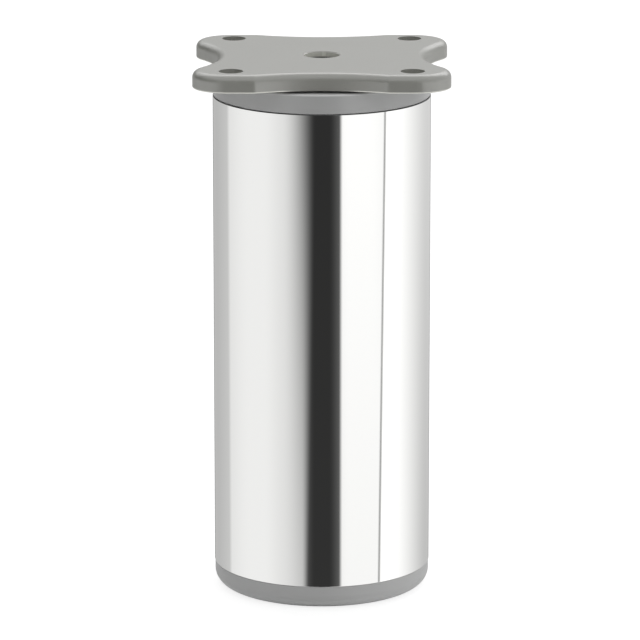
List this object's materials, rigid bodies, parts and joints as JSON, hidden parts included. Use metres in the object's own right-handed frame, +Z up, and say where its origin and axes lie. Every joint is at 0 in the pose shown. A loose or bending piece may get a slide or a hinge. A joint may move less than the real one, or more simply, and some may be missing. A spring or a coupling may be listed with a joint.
{
  "type": "adjustable cabinet leg",
  "caption": "Round chrome tube leg with a grey plastic butterfly mounting plate and collar on top and a grey plastic foot below, height set by a threaded spindle turned from above",
  "frame": {"origin": "centre of the foot's sole, on the leg's axis, where the leg stands on the floor", "axes": "+Z up along the leg, from the foot to the mounting plate; X and Y along the sides of the square of screw holes"},
  "size_m": [0.07, 0.0634, 0.15],
  "materials": {
    "grey_plastic": "fine moulded texture, satin",
    "chrome_tube": "polished",
    "insert_plastic": "moulded, plain",
    "zinc_steel": "bright zinc plate"
  },
  "bodies": {
    "leg": {"leg_tube": "chrome_tube", "mounting_plate": "grey_plastic", "top_plug": "grey_plastic", "plate_screws": "zinc_steel", "lower_plug": "insert_plastic", "spindle_nut": "zinc_steel"},
    "foot": {"foot": "grey_plastic"},
    "spindle": {"levelling_spindle": "zinc_steel"}
  },
  "joints": [
    {"name": "foot_slide", "type": "slide", "parent": "leg", "child": "foot", "axis": [0, 0, -1], "range_m": [0, 0.022]},
    {"name": "spindle_turn", "type": "hinge", "parent": "foot", "child": "spindle", "pos_m": [0, 0, 0.0026], "axis": [0, 0, -1], "range_deg": [0, 4114]}
  ],
  "couplings": [
    {"joint": "foot_slide", "follows": "spindle_turn", "m_per_rad": 0.00027852}
  ]
}
